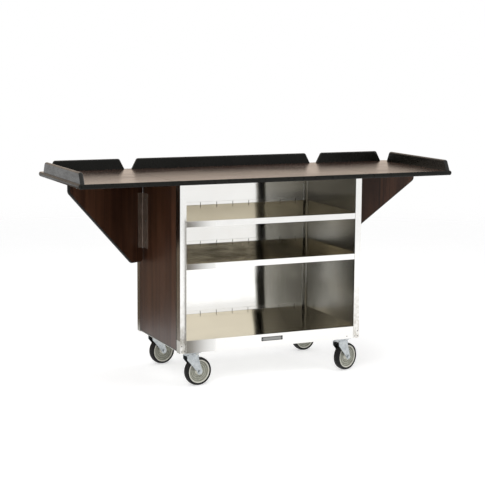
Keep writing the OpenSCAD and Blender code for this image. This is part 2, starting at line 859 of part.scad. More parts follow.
bracket_glide("left");  // left_bracket_glide
bracket("right");  // right_bracket
bracket_edging("right");  // right_bracket_edging
bracket_hinge_flap("right");  // right_bracket_hinge_flap
bracket_glide("right");  // right_bracket_glide
caster_plate("front_left");  // front_left_caster_plate
fork("front_left");  // front_left_fork
axle("front_left");  // front_left_axle
wheel("front_left");  // front_left_wheel
tyre("front_left");  // front_left_tyre
caster_plate("front_right");  // front_right_caster_plate
fork("front_right");  // front_right_fork
axle("front_right");  // front_right_axle
wheel("front_right");  // front_right_wheel
tyre("front_right");  // front_right_tyre
caster_plate("rear_left");  // rear_left_caster_plate
fork("rear_left");  // rear_left_fork
axle("rear_left");  // rear_left_axle
wheel("rear_left");  // rear_left_wheel
tyre("rear_left");  // rear_left_tyre
caster_plate("rear_right");  // rear_right_caster_plate
fork("rear_right");  // rear_right_fork
axle("rear_right");  // rear_right_axle
wheel("rear_right");  // rear_right_wheel
tyre("rear_right");  // rear_right_tyre
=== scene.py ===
"""Looks of the food service trolley: finishes, small fittings, floor, lamps and camera."""
import json
import math

import bmesh
import bpy
from mathutils import Matrix, Vector

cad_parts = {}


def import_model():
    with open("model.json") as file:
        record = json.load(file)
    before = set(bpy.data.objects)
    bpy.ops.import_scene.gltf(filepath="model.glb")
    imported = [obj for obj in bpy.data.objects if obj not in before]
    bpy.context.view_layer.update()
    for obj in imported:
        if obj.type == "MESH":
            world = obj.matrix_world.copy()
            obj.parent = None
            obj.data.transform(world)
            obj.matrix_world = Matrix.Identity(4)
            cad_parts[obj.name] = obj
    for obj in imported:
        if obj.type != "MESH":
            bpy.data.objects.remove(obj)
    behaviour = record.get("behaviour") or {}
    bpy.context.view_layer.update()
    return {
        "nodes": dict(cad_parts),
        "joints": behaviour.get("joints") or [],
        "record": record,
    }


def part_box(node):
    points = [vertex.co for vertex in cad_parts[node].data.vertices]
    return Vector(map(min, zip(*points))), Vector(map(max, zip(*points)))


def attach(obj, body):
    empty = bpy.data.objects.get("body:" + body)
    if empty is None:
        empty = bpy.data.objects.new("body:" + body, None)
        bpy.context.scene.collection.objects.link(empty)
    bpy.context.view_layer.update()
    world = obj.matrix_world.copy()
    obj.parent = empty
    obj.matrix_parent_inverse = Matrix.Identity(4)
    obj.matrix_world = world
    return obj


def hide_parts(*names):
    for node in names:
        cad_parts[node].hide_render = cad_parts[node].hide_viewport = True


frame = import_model()

NODES = frame["nodes"]
SLOT_OF = {p["node"]: p["material_slot"] for p in frame["record"]["subparts"]}
SIDES = {"left": -1, "right": 1}
Y, Z = Vector((0, 1, 0)), Vector((0, 0, 1))
MM = 0.001
MOUNTS = {m["name"]: Vector(m["pos_m"]) for m in frame["record"]["mounts"]}
BASE_Z, MIDDLE_Z, UPPER_Z = (MOUNTS[n + "_shelf_rest"].z for n in ("base", "middle", "upper"))
# How the sheets curve just above each shelf: level, slope there, and reach above it
SHEET_CURVES = ((BASE_Z, 0.110, 0.135), (MIDDLE_Z, 0.088, 0.092), (UPPER_Z, 0.085, 0.081))


# ---------------------------------------------------------------- materials

LENGTHWISE, DEPTHWISE, UPRIGHT = 0, 1, 2
ASLANT, SQUARE_ON = 0.6, 0.9      # how far a face looks along an axis: partly, and fully


class Finish:
    """A node material: one Principled shader, and short calls that feed it."""

    def __init__(self, name, roughness, metallic=0.0, ior=1.5):
        self.material = bpy.data.materials.new(name)
        self.material.use_nodes = True
        self.tree = self.material.node_tree
        self.shader = self.tree.nodes["Principled BSDF"]
        self.shader.inputs["Roughness"].default_value = roughness
        self.shader.inputs["Metallic"].default_value = metallic
        self.shader.inputs["IOR"].default_value = ior
        self.place = self.add("TexCoord").outputs["Object"]
        self.heights = []

    def add(self, kind, values=None, **settings):
        node = self.tree.nodes.new("ShaderNode" + kind)
        for key, value in settings.items():
            setattr(node, key, value)
        for key, value in (values or {}).items():
            if isinstance(value, bpy.types.NodeSocket):
                self.tree.links.new(value, node.inputs[key])
            else:
                node.inputs[key].default_value = value
        return node

    def noise(self, scale, detail=3.0, rough=0.5, distortion=0.0):
        """Noise with its own scale, in features per metre, along each axis."""
        at = self.add("Mapping", {"Vector": self.place, "Scale": scale}).outputs[0]
        values = {"Vector": at, "Scale": 1.0, "Detail": detail, "Roughness": rough, "Distortion": distortion}
        return self.add("TexNoise", values).outputs["Fac"]

    def spread(self, fac, low=0.3, high=0.7, to_low=0.0, to_high=1.0):
        """Eases a value from one range into another. By default it takes the middle of a noise."""
        values = {"Value": fac, "From Min": low, "From Max": high, "To Min": to_low, "To Max": to_high}
        return self.add("MapRange", values, interpolation_type="SMOOTHSTEP").outputs[0]

    def math(self, operation, a, b=0.0):
        return self.add("Math", {0: a, 1: b}, operation=operation).outputs[0]

    def blend(self, fac, a, b):
        """A number between two others."""
        return self.add("Mix", {0: fac, 2: a, 3: b}).outputs[0]

    def mix(self, fac, a, b):
        """A colour between two others."""
        colours = [c if isinstance(c, bpy.types.NodeSocket) else (*c, 1.0) for c in (a, b)]
        node = self.add("Mix", {0: fac, 6: colours[0], 7: colours[1]}, data_type="RGBA")
        return node.outputs[2]

    def facing(self, axis):
        """How far the surface faces along an axis of the part, from -1 to 1."""
        normal = self.add("TexCoord").outputs["Normal"]
        return self.add("SeparateXYZ", {0: normal}).outputs[axis]

    def feed(self, name, socket):
        self.tree.links.new(socket, self.shader.inputs[name])

    def tones(self, fac, low_tone, high_tone):
        """Base colour that drifts between two tones as a noise does."""
        self.feed("Base Color", self.mix(self.spread(fac), low_tone, high_tone))

    def bump(self, height, depth):
        """Adds relief, depth in metres, over what is there."""
        values = {"Height": height, "Distance": depth, "Strength": 1.0}
        if self.heights:
            values["Normal"] = self.heights[-1]
        self.heights.append(self.add("Bump", values).outputs[0])
        self.feed("Normal", self.heights[-1])


PORE_SHADE = 0.45
PORE_DEPTH = 0.015 * MM


def walnut_grain(finish, along, dark, light, streak):
    """Printed walnut: broad figure, fine veins and short pores, all running along one axis.
    Gives its colour and the pores."""
    def stretched(across, lengthwise):
        return [lengthwise if a == along else across for a in range(3)]

    figure = finish.noise(stretched(16.0, 0.9), 4.0, 0.55, 1.2)
    veins = finish.noise(stretched(120.0, 2.2), 5.0, 0.6, 0.4)
    pores = finish.noise(stretched(900.0, 22.0), 2.0, 0.5)
    colour = finish.mix(finish.spread(figure, 0.34, 0.68), dark, light)
    colour = finish.mix(finish.spread(veins, 0.52, 0.70, 0.0, 0.75), colour, streak)
    pore_tone = [PORE_SHADE * c for c in streak]
    colour = finish.mix(finish.spread(pores, 0.62, 0.74, 0.0, 0.6), colour, pore_tone)
    return colour, pores


def walnut_laminate():
    finish = Finish("walnut_laminate", 0.34, ior=1.4)
    dark, light, streak = (0.034, 0.0125, 0.0062), (0.080, 0.033, 0.0165), (0.017, 0.0066, 0.0036)
    colour, pores = walnut_grain(finish, UPRIGHT, dark, light, streak)
    finish.feed("Base Color", colour)
    smudge = finish.noise((7.0, 7.0, 5.0), 3.0, 0.6)
    finish.feed("Roughness", finish.spread(smudge, to_low=0.30, to_high=0.40))
    finish.bump(pores, PORE_DEPTH)
    return finish.material


BACKER = (0.78, 0.74, 0.65)       # the pale sheet under the top


def top_laminate():
    finish = Finish("top_laminate", 0.28, ior=1.75)
    dark, light, streak = (0.030, 0.0145, 0.0095), (0.050, 0.026, 0.017), (0.017, 0.0085, 0.006)
    printed, _ = walnut_grain(finish, LENGTHWISE, dark, light, streak)
    underside = finish.spread(finish.facing(UPRIGHT), -ASLANT, -SQUARE_ON)
    finish.feed("Base Color", finish.mix(underside, printed, BACKER))
    smudge = finish.noise((3.0, 5.0, 5.0), 4.0, 0.6)
    finish.feed("Roughness", finish.spread(smudge, to_low=0.19, to_high=0.27))
    return finish.material


def black_gloss(name, roughness, ior=1.5):
    """Black plastic or laminate with faint handling marks."""
    finish = Finish(name, roughness, ior=ior)
    cloud = finish.noise((9.0, 9.0, 9.0), 4.0, 0.6)
    finish.tones(cloud, (0.0042, 0.0043, 0.0032), (0.0075, 0.0074, 0.0058))
    marks = finish.noise((60.0, 14.0, 60.0), 5.0, 0.7)
    finish.feed("Roughness", finish.spread(marks, 0.35, 0.75, roughness - 0.05, roughness + 0.09))
    return finish.material


def bow(finish, curves, share):
    """The soft curves that a thin sheet takes just above the shelves, as in SHEET_CURVES.
    The share says how much of them a face takes."""
    height = finish.add("SeparateXYZ", {0: finish.place}).outputs[UPRIGHT]
    total = None
    for level, slope, reach in curves:
        values = {"Value": height, "From Min": level, "From Max": level + reach}
        rise = finish.add("MapRange", values).outputs[0]
        half_square = finish.math("MULTIPLY", finish.math("MULTIPLY", rise, rise), 0.5)
        depth = finish.math("MULTIPLY", finish.math("SUBTRACT", rise, half_square), -slope * reach)
        total = depth if total is None else finish.math("ADD", total, depth)
    finish.bump(finish.math("MULTIPLY", total, share), 1.0)


STEEL, WORN_STEEL = (0.91, 0.905, 0.885), (0.66, 0.65, 0.62)
DULL_STEEL = [0.95 * c for c in STEEL]
# The warm grazing tint, used on the shelves, paints a warm reflection
PLAIN_EDGE, WARM_REFLECTION_EDGE = (0.98, 0.98, 0.97), (0.86, 0.78, 0.62)    # tints at a grazing look
# Painted shade: darker steel at the foot of the walls, and on the rear of the front flanges
FOOT_SHADE, FLANGE_SHADE = (0.56, 0.535, 0.485), (0.085, 0.078, 0.064)
# Tones of the satin inner wall faces, made dark as painted shade
SHADED_SATIN, SHADED_SATIN_PALE = (0.34, 0.335, 0.305), (0.56, 0.55, 0.51)
FOOT_SHADE_TOP, FOOT_SHADE_FULL = 500.0 * MM, 175.0 * MM                    # heights over the floor
FLANGE_SHADE_ROUGHNESS, SATIN_ROUGHNESS = 0.45, 0.19
HALFWAY_BLUR = 20.0 * MM
BRUSHING = 0.55                                                   # anisotropy


def wall_shade_and_gloss(finish, colour, gloss):
    """What a side wall adds to plain steel: painted shade darkening its foot in patches, a satin gloss
    on its inner faces whose darker tone is painted shade, and painted shade with a duller gloss on
    the rear of its front flange. Gives its colour, gloss and share of satin."""
    place = finish.add("SeparateXYZ", {0: finish.place}).outputs
    # Painted shade: the steel darkens toward the foot of the wall, in patches
    foot = finish.spread(place[UPRIGHT], FOOT_SHADE_TOP, FOOT_SHADE_FULL)
    blotch = finish.spread(finish.noise((55.0, 55.0, 40.0), 5.0, 0.7), 0.38, 0.66, 0.25, 1.0)
    colour = finish.mix(finish.math("MULTIPLY", foot, blotch), colour, FOOT_SHADE)
    # Painted shade on the rear of the front flange, the face that looks back into the cabinet, with a duller
    # gloss
    front_half = finish.spread(place[DEPTHWISE], HALFWAY_BLUR, -HALFWAY_BLUR)
    looks_back = finish.spread(finish.facing(DEPTHWISE), ASLANT, SQUARE_ON)
    shaded_flange = finish.math("MULTIPLY", looks_back, front_half)
    colour = finish.mix(shaded_flange, colour, FLANGE_SHADE)
    # Faces that look sideways take a satin gloss, and a darker tone in patches that is painted shade inside
    # the bays
    shaded_satin = finish.spread(finish.math("ABSOLUTE", finish.facing(LENGTHWISE)), ASLANT, SQUARE_ON)
    patch = finish.spread(finish.noise((2.2, 2.2, 3.0), 2.0, 0.5))
    colour = finish.mix(shaded_satin, colour, finish.mix(patch, SHADED_SATIN, SHADED_SATIN_PALE))
    gloss = finish.blend(shaded_flange, gloss, FLANGE_SHADE_ROUGHNESS)
    gloss = finish.blend(shaded_satin, gloss, SATIN_ROUGHNESS)
    return colour, gloss, shaded_satin


def stainless(name, edge_tint, smooth, rough, curves=(), wall=False):
    """Brushed sheet with a level grain, which runs along X on its front, back and level faces."""
    finish = Finish(name, rough, metallic=1.0)
    finish.shader.inputs["Specular Tint"].default_value = (*edge_tint, 1.0)
    finish.shader.inputs["Anisotropic"].default_value = BRUSHING
    cloud = finish.noise((3.5, 3.5, 3.5), 3.0, 0.5)
    base = finish.mix(finish.spread(cloud), STEEL, DULL_STEEL)
    upright_grain = finish.noise((6.0, 6.0, 1600.0), 3.0, 0.7)
    level_grain = finish.noise((6.0, 1600.0, 6.0), 3.0, 0.7)
    level = finish.math("ABSOLUTE", finish.facing(UPRIGHT))
    grain = finish.blend(level, upright_grain, level_grain)
    colour = finish.mix(finish.spread(grain, 0.35, 0.65, 0.0, 0.12), base, WORN_STEEL)
    smudge = finish.noise((11.0, 11.0, 8.0), 5.0, 0.65)
    gloss = finish.spread(smudge, 0.3, 0.75, smooth, rough)
    share = 1.0
    if wall:
        colour, gloss, share = wall_shade_and_gloss(finish, colour, gloss)
    finish.feed("Base Color", colour)
    finish.feed("Roughness", gloss)
    across_grain = finish.add("Mix", {0: level, 4: Z, 5: Y}, data_type="VECTOR").outputs[1]
    finish.feed("Tangent", across_grain)
    if curves:
        bow(finish, curves, share)
    return finish.material


def zinc():
    finish = Finish("zinc", 0.24, metallic=1.0)
    cloud = finish.noise((60.0, 60.0, 60.0), 4.0, 0.6)
    finish.tones(cloud, (0.40, 0.43, 0.45), (0.54, 0.57, 0.58))
    spangle = finish.add("TexVoronoi", {"Vector": finish.place, "Scale": 420.0}).outputs["Distance"]
    finish.feed("Roughness", finish.spread(spangle, 0.0, 0.8, 0.18, 0.32))
    finish.bump(cloud, 0.05 * MM)
    return finish.material


def stainless_mark(name, low, high):
    """Heat-darkened or unpolished steel of a weld bead or a rivet."""
    finish = Finish(name, 0.5, metallic=0.8)
    tarnish = finish.noise((400.0, 400.0, 400.0), 3.0, 0.6)
    finish.tones(tarnish, low, high)
    return finish.material


def bronze_hinge():
    finish = Finish("bronze_hinge", 0.36, metallic=0.4)
    cloud = finish.noise((40.0, 40.0, 25.0), 4.0, 0.6)
    finish.tones(cloud, (0.20, 0.150, 0.120), (0.27, 0.21, 0.172))
    finish.bump(finish.noise((800.0, 800.0, 800.0), 2.0), 0.02 * MM)
    return finish.material


def moulded(name, low, high):
    """Grey moulded plastic, dusty in patches."""
    finish = Finish(name, 0.42)
    cloud = finish.noise((70.0, 70.0, 70.0), 4.0, 0.6)
    finish.feed("Base Color", finish.mix(finish.spread(cloud, 0.3, 0.75), low, high))
    finish.bump(finish.noise((500.0, 500.0, 500.0), 2.0), 0.1 * MM)
    return finish.material


def tyre():
    finish = Finish("tyre", 0.55, ior=1.3)
    dust = finish.noise((45.0, 45.0, 45.0), 5.0, 0.65)
    clean, dusty = (0.007, 0.007, 0.007), (0.020, 0.019, 0.018)
    finish.feed("Base Color", finish.mix(finish.spread(dust, 0.45, 0.8), clean, dusty))
    finish.feed("Roughness", finish.spread(dust, to_low=0.45, to_high=0.68))
    finish.bump(finish.noise((900.0, 900.0, 900.0), 3.0), 0.12 * MM)
    return finish.material


def nameplate():
    finish = Finish("nameplate", 0.34, metallic=1.0)
    hair = finish.noise((8.0, 8.0, 2200.0), 3.0, 0.7)
    finish.tones(hair, (0.22, 0.22, 0.21), (0.32, 0.32, 0.31))
    finish.bump(hair, 0.02 * MM)
    return finish.material


MATERIALS = {
    "stainless": stainless("stainless", PLAIN_EDGE, 0.09, 0.14),
    "top_laminate": top_laminate(),
    "walnut_laminate": walnut_laminate(),
    "black_edging": black_gloss("black_edging", 0.30, ior=1.26),
    "black_rail": black_gloss("black_rail", 0.30, ior=1.3),
    "black_plastic": black_gloss("black_plastic", 0.45),
    "bronze_hinge": bronze_hinge(),
    "zinc": zinc(),
    "wheel_grey": moulded("wheel_grey", (0.52, 0.50, 0.43), (0.63, 0.61, 0.54)),
    "tyre": tyre(),
    "nameplate": nameplate(),
}


# ---------------------------------------------------------------- finish of the CAD nodes

# Width in metres of the softened edge on each slot's pieces
EDGE = {"stainless": 0.45 * MM, "zinc": 0.5 * MM, "black_rail": 0.8 * MM, "black_plastic": 1.0 * MM,
        "bronze_hinge": 0.35 * MM, "nameplate": 0.3 * MM}


WELD_GAP = 0.002 * MM
SHARP = math.radians(40)


def soften_edges(obj, width):
    """Joins the node's split corners and rounds its sharp edges a little."""
    weld = obj.modifiers.new("weld", "WELD")
    weld.merge_threshold = WELD_GAP
    bevel = obj.modifiers.new("edge", "BEVEL")
    bevel.limit_method = "ANGLE"
    bevel.angle_limit = SHARP
    bevel.width = width
    bevel.segments = 2
    bevel.harden_normals = False
    shade = obj.modifiers.new("shade", "WEIGHTED_NORMAL")
    shade.keep_sharp = True


# Nodes, by the end of their names, that have a finish of their own within their slot
OWN_FINISH = {
    "back_panel": stainless("back_steel", PLAIN_EDGE, 0.06, 0.09, SHEET_CURVES),
    # The shelves' warm grazing tint is a painted warm reflection
    "shelf": stainless("shelf_steel", WARM_REFLECTION_EDGE, 0.07, 0.11, SHEET_CURVES),
    "side_wall": stainless("wall_steel", PLAIN_EDGE, 0.09, 0.14, SHEET_CURVES, wall=True),
    "end_rail": black_gloss("end_rail", 0.30, ior=1.42),
}

for name, obj in NODES.items():
    finish = MATERIALS[SLOT_OF[name]]
    for ending, own in OWN_FINISH.items():
        if name.endswith(ending):
            finish = own
    obj.data.materials.clear()
    obj.data.materials.append(finish)
    if SLOT_OF[name] in EDGE:
        soften_edges(obj, EDGE[SLOT_OF[name]])


# ---------------------------------------------------------------- pieces made here

JOINTS = {j["name"]: j for j in frame["joints"]}
CORNERS = [front + side for front in ("front_", "rear_") for side in ("left", "right")]


def piece(name, mesh, body, materials):
    """A mesh as a piece that rides on a body, with the finishes given."""
    obj = bpy.data.objects.new(name, mesh)
    for material in materials:
        mesh.materials.append(material)
    bpy.context.scene.collection.objects.link(obj)
    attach(obj, body)
    return obj


def ring(bm, centre, axis, radius, turns):
    """Points round an axis, at one radius."""
    side = axis.orthogonal().normalized()
    up = axis.cross(side)
    angles = [2.0 * math.pi * i / turns for i in range(turns)]
    return [bm.verts.new(centre + radius * (math.cos(a) * side + math.sin(a) * up)) for a in angles]


def band(bm, near, far, finish=0):
    """Smooth faces from one ring to the next."""
    for i in range(len(near)):
        j = (i + 1) % len(near)
        face = bm.faces.new((near[i], near[j], far[j], far[i]))
        face.material_index = finish
        face.smooth = True


def finished(name, bm):
    """The mesh that was built up, with its faces turned outward."""
    bmesh.ops.recalc_face_normals(bm, faces=bm.faces)
    mesh = bpy.data.meshes.new(name)
    bm.to_mesh(mesh)
    bm.free()
    return mesh


def lathe(name, section, centre, axis, turns=96):
    """A closed section of (radius, place along the axis, finish number) turned about an axis."""
    bm = bmesh.new()
    rings = [ring(bm, centre + along * axis, axis, radius, turns) for radius, along, _ in section]
    for k, (_, _, finish) in enumerate(section):
        band(bm, rings[k], rings[(k + 1) % len(rings)], finish)
    return finished(name, bm)


def domes(name, places, axis, radius, height, turns=20, steps=4):
    """Low round heads on a face that looks along the axis."""
    bm = bmesh.new()
    for place in places:
        rings = []
        for k in range(steps):
            angle = 0.5 * math.pi * k / steps
            centre = place + height * math.sin(angle) * axis
            rings.append(ring(bm, centre, axis, radius * math.cos(angle), turns))
        for near, far in zip(rings, rings[1:]):
            band(bm, near, far)
        for cap in (rings[-1], rings[0][::-1]):
            bm.faces.new(cap).smooth = True
    return finished(name, bm)


def boxes(name, corners, width):
    """Boxes, each from a low to a high corner, with their edges cut back by a width."""
    bm = bmesh.new()
    for low, high in corners:
        for v in bmesh.ops.create_cube(bm, size=1.0)["verts"]:
            v.co = Vector([low[i] + (v.co[i] + 0.5) * (high[i] - low[i]) for i in range(3)])
    bmesh.ops.bevel(bm, geom=bm.edges[:], offset=width, segments=2, affect="EDGES")
    return finished(name, bm)


BOSS_SHARE, LIP_SHARE, WEB_SHARE = 0.30, 0.90, 0.40    # of the rim's radius, radius and half width
SOFT = 0.8 * MM                                        # cut on the corners of the section
RIBS, RIB_START, RIB_RISE = 3, 0.45, 1.6 * MM
RIB_FLANK, RIB_TOP, RIB_FOOT, LIP_FLANK = 0.8 * MM, 2.2 * MM, 3.0 * MM, 3.0 * MM
NEAR_RIM = 0.95                                        # of the rim's radius
# Material numbers of the wheel: painted light on raised faces, painted shade in the sunk web
PAINTED_LIT, PAINTED_SHADE = 0, 1
# Lit and shaded copies of one moulded grey, as painted light and painted shade
LIT_RIM_GREY = moulded("lit_rim_grey", (0.66, 0.65, 0.57), (0.78, 0.77, 0.69))
SHADED_WEB_GREY = moulded("shaded_web_grey", (0.25, 0.255, 0.205), (0.36, 0.365, 0.305))


def wheel(corner):
    """The moulded wheel inside the tyre: a rim, a sunk ribbed web and a hub, in lit and shaded copies of one
    grey, with painted light on the rim, the hub and the rib tops and painted shade in the sunk web.
    """
    node = corner + "_wheel"
    joint = JOINTS[corner + "_wheel_roll"]
    centre, axis = Vector(joint["pos_m"]), Vector(joint["axis"]).normalized()
    offsets = [v.co - centre for v in NODES[node].data.vertices]
    alongs = [o.dot(axis) for o in offsets]
    radii = [(o - a * axis).length for o, a in zip(offsets, alongs)]
    half, rim, bore = max(alongs), max(radii), min(radii)
    boss, lip = BOSS_SHARE * rim, LIP_SHARE * rim
    rim_half = max(a for a, r in zip(alongs, radii) if r > NEAR_RIM * rim)
    web = WEB_SHARE * rim_half
    face = [(bore, half, PAINTED_LIT), (boss - SOFT, half, PAINTED_LIT), (boss, half - SOFT, PAINTED_LIT)]
    face += [(boss + SOFT, web, PAINTED_SHADE)]
    pitch = (lip - boss) / (RIBS + 0.5)
    for i in range(RIBS):
        start = boss + SOFT + (i + RIB_START) * pitch
        face += [(start, web, PAINTED_SHADE), (start + RIB_FLANK, web + RIB_RISE, PAINTED_LIT)]
        face += [(start + RIB_TOP, web + RIB_RISE, PAINTED_SHADE), (start + RIB_FOOT, web, PAINTED_SHADE)]
    face += [(lip - LIP_FLANK, web, PAINTED_SHADE), (lip - SOFT, rim_half - SOFT, PAINTED_LIT)]
    face += [(lip + SOFT, rim_half, PAINTED_LIT), (rim - SOFT, rim_half, PAINTED_LIT), (rim, rim_half - SOFT, PAINTED_LIT)]
    # The back mirrors the face, and each stretch keeps the painted light or shade that it has in front
    places = [(radius, -along) for radius, along, _ in reversed(face)]
    finishes = [finish for _, _, finish in reversed(face)][1:] + [PAINTED_LIT]
    back = [(radius, along, finish) for (radius, along), finish in zip(places, finishes)]
    mesh = lathe(corner + "_wheel_face", face + back, centre, axis)
    obj = piece(corner + "_wheel_face", mesh, corner + "_caster_wheel", (LIT_RIM_GREY, SHADED_WEB_GREY))
    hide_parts(node)


WELD_PITCH, WELD_HALF, WELD_PROUD, WELD_H = 84.0 * MM, 1.3 * MM, 0.5 * MM, 13.0 * MM
WELD_EDGE = 0.15 * MM
WELD_DARK = stainless_mark("weld_dark", (0.055, 0.048, 0.040), (0.16, 0.14, 0.12))


def shelf_welds(shelf):
    """Dark weld beads along the foot of a shelf's rear upstand."""
    low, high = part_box(shelf)
    back_low, back_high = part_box("back_panel")
    face = high.y - (back_high.y - back_low.y)
    foot = MOUNTS[shelf + "_rest"].z
    count = int((high.x - low.x) / WELD_PITCH)
    first = low.x + 0.5 * ((high.x - low.x) - (count - 1) * WELD_PITCH)
    corners = []
    for i in range(count):
        x = first + i * WELD_PITCH
        corners.append(((x - WELD_HALF, face - WELD_PROUD, foot), (x + WELD_HALF, face, foot + WELD_H)))
    mesh = boxes(shelf + "_welds", corners, WELD_EDGE)
    piece(shelf + "_welds", mesh, "cabinet", (WELD_DARK,))


# Rivets of the left stile: inset from its outer edge, and rise from its foot
STILE_RIVETS = ((8.0 * MM, 10.0 * MM), (8.0 * MM, 34.0 * MM), (22.0 * MM, 10.0 * MM))
STILE_RIVET_R, STILE_RIVET_H = 2.6 * MM, 1.0 * MM
LIP_RIVET_INSET, LIP_RIVET_RISE = 55.0 * MM, 12.0 * MM
LIP_RIVET_R, LIP_RIVET_H = 2.4 * MM, 0.9 * MM
RIVET_DARK = stainless_mark("rivet_dark", (0.10, 0.095, 0.085), (0.20, 0.19, 0.17))


def front_rivets():
    """Blind rivets at the feet of both stiles and one on the base lip."""
    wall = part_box("left_side_wall")[0]
    places = []
    for s in SIDES.values():
        for inset, rise in STILE_RIVETS:
            places.append(Vector((s * (-wall.x - inset), wall.y, wall.z + rise)))
    mesh = domes("stile_rivets", places, -Y, STILE_RIVET_R, STILE_RIVET_H)
    piece("stile_rivets", mesh, "cabinet", (RIVET_DARK,))
    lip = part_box("base_shelf")[0]
    place = Vector((-lip.x - LIP_RIVET_INSET, lip.y, lip.z + LIP_RIVET_RISE))
    mesh = domes("lip_rivet", [place], -Y, LIP_RIVET_R, LIP_RIVET_H)
    piece("lip_rivet", mesh, "cabinet", (RIVET_DARK,))


SCREW_INSET, SCREW_DROP = 40.0 * MM, 14.0 * MM         # from the bracket's outer end and its top
SCREW_R, SCREW_H = 4.2 * MM, 2.0 * MM


def bracket_screw(side, s):
    """A pan-head screw near the outer top corner of a bracket, on the face toward the front."""
    joint = JOINTS[side + "_bracket_swing"]
    pin = Vector(joint["pos_m"])
    angle = math.radians(90.0 - joint["range_deg"][1])
    out = Vector((s * math.cos(angle), -math.sin(angle), 0.0))
    front = Vector((-s * math.sin(angle), -math.cos(angle), 0.0))
    corners = [v.co - pin for v in NODES[side + "_bracket"].data.vertices]
    reach = max(c.dot(out) for c in corners)
    face = max(c.dot(front) for c in corners)
    place = pin + (reach - SCREW_INSET) * out + face * front
    place.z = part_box(side + "_bracket")[1].z - SCREW_DROP
    mesh = domes(side + "_bracket_screw", [place], front, SCREW_R, SCREW_H)
    piece(side + "_bracket_screw", mesh, side + "_bracket", (MATERIALS["zinc"],))


PLATE_RIM, PLATE_END, PLATE_PROUD, PLATE_EDGE = 2.2 * MM, 6.6 * MM, 0.7 * MM, 0.25 * MM
STUD_R, STUD_H = 2.0 * MM, 0.8 * MM


def nameplate_frame():
    """A black raised border around the blank plate, with a stud at each end."""
    low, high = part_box("nameplate")
    front, back = low.y - PLATE_PROUD, low.y
    foot, head = low.z + PLATE_RIM, high.z - PLATE_RIM
    bars = [((low.x, front, low.z), (high.x, back, foot))]
    bars += [((low.x, front, head), (high.x, back, high.z))]
    bars += [((low.x, front, foot), (low.x + PLATE_END, back, head))]
    bars += [((high.x - PLATE_END, front, foot), (high.x, back, head))]
    mesh = boxes("nameplate_frame", bars, PLATE_EDGE)
    piece("nameplate_frame", mesh, "cabinet", (MATERIALS["black_plastic"],))
    middle = 0.5 * (low.z + high.z)
    ends = (low.x + 0.5 * PLATE_END, high.x - 0.5 * PLATE_END)
    mesh = domes("nameplate_studs", [Vector((x, front, middle)) for x in ends], -Y, STUD_R, STUD_H)
    piece("nameplate_studs", mesh, "cabinet", (MATERIALS["zinc"],))


for corner in CORNERS:
    wheel(corner)
for name in ("upper_shelf", "middle_shelf", "base_shelf"):
    shelf_welds(name)
front_rivets()
for side, s in SIDES.items():
    bracket_screw(side, s)
nameplate_frame()


# ---------------------------------------------------------------- floor, lamps and camera

LOOK_AT = Vector((0.0, 0.0, 0.55))
FLOOR_R, FADE_FROM, FADE_TO = 7.0, 0.45, 0.98          # metres, and shares of it
FLOOR_GLOW = 0.46
WORLD_LIGHT = 0.55


def floor():
    """A pale round floor that fades out, white to the camera wherever no shadow falls."""
    bpy.ops.mesh.primitive_circle_add(vertices=96, radius=FLOOR_R, fill_type="NGON")
    obj = bpy.context.object
    obj.name = "floor"
    finish = Finish("floor", 0.6)
    tree = finish.tree
    tree.nodes.remove(finish.shader)
    speckle = finish.noise((4.0, 4.0, 4.0), 3.0)
    colour = finish.mix(speckle, (0.80, 0.80, 0.80), (0.82, 0.82, 0.82))
    matt = finish.add("BsdfDiffuse", {"Color": colour}).outputs[0]
    rays = finish.add("LightPath").outputs
    seen = finish.math("MAXIMUM", rays["Is Camera Ray"], rays["Is Glossy Ray"])
    strength = finish.math("MULTIPLY", seen, FLOOR_GLOW)
    glow = finish.add("Emission", {"Color": (1.0, 1.0, 1.0, 1.0), "Strength": strength}).outputs[0]
    lit = finish.add("AddShader", {0: matt, 1: glow}).outputs[0]
    radius = finish.add("VectorMath", {0: finish.place}, operation="LENGTH").outputs["Value"]
    fade = finish.spread(radius, FLOOR_R * FADE_FROM, FLOOR_R * FADE_TO)
    clear = finish.add("BsdfTransparent").outputs[0]
    out = finish.add("MixShader", {0: fade, 1: lit, 2: clear}).outputs[0]
    tree.links.new(out, tree.nodes["Material Output"].inputs["Surface"])
    obj.data.materials.append(finish.material)


def world():
    """White to the camera and in reflections, a plainer grey as light."""
    sky = bpy.data.worlds.new("studio")
    sky.use_nodes = True
    bpy.context.scene.world = sky
    tree = sky.node_tree
    light = tree.nodes["Background"]
    light.inputs["Color"].default_value = (1.0, 1.0, 1.0, 1.0)
    rays = tree.nodes.new("ShaderNodeLightPath").outputs
    seen = tree.nodes.new("ShaderNodeMath")
    seen.operation = "MAXIMUM"
    tree.links.new(rays["Is Camera Ray"], seen.inputs[0])
    tree.links.new(rays["Is Glossy Ray"], seen.inputs[1])
    strength = tree.nodes.new("ShaderNodeMapRange")
    strength.inputs["To Min"].default_value = WORLD_LIGHT
    strength.inputs["To Max"].default_value = 1.0
    tree.links.new(seen.outputs[0], strength.inputs["Value"])
    tree.links.new(strength.outputs[0], light.inputs["Strength"])


def lamp(name, at, size, level):
    """A square soft lamp aimed at the part, out of sight of reflections. Level is the light it
    gives there, as a colour renders."""
    data = bpy.data.lights.new(name, "AREA")
    data.size = size
    aim = LOOK_AT - Vector(at)
    data.energy = level * math.pi ** 2 * aim.length_squared
    obj = bpy.data.objects.new(name, data)
    obj.location = at
    obj.rotation_euler = aim.to_track_quat("-Z", "Y").to_euler()
    obj.visible_glossy = False
    bpy.context.scene.collection.objects.link(obj)


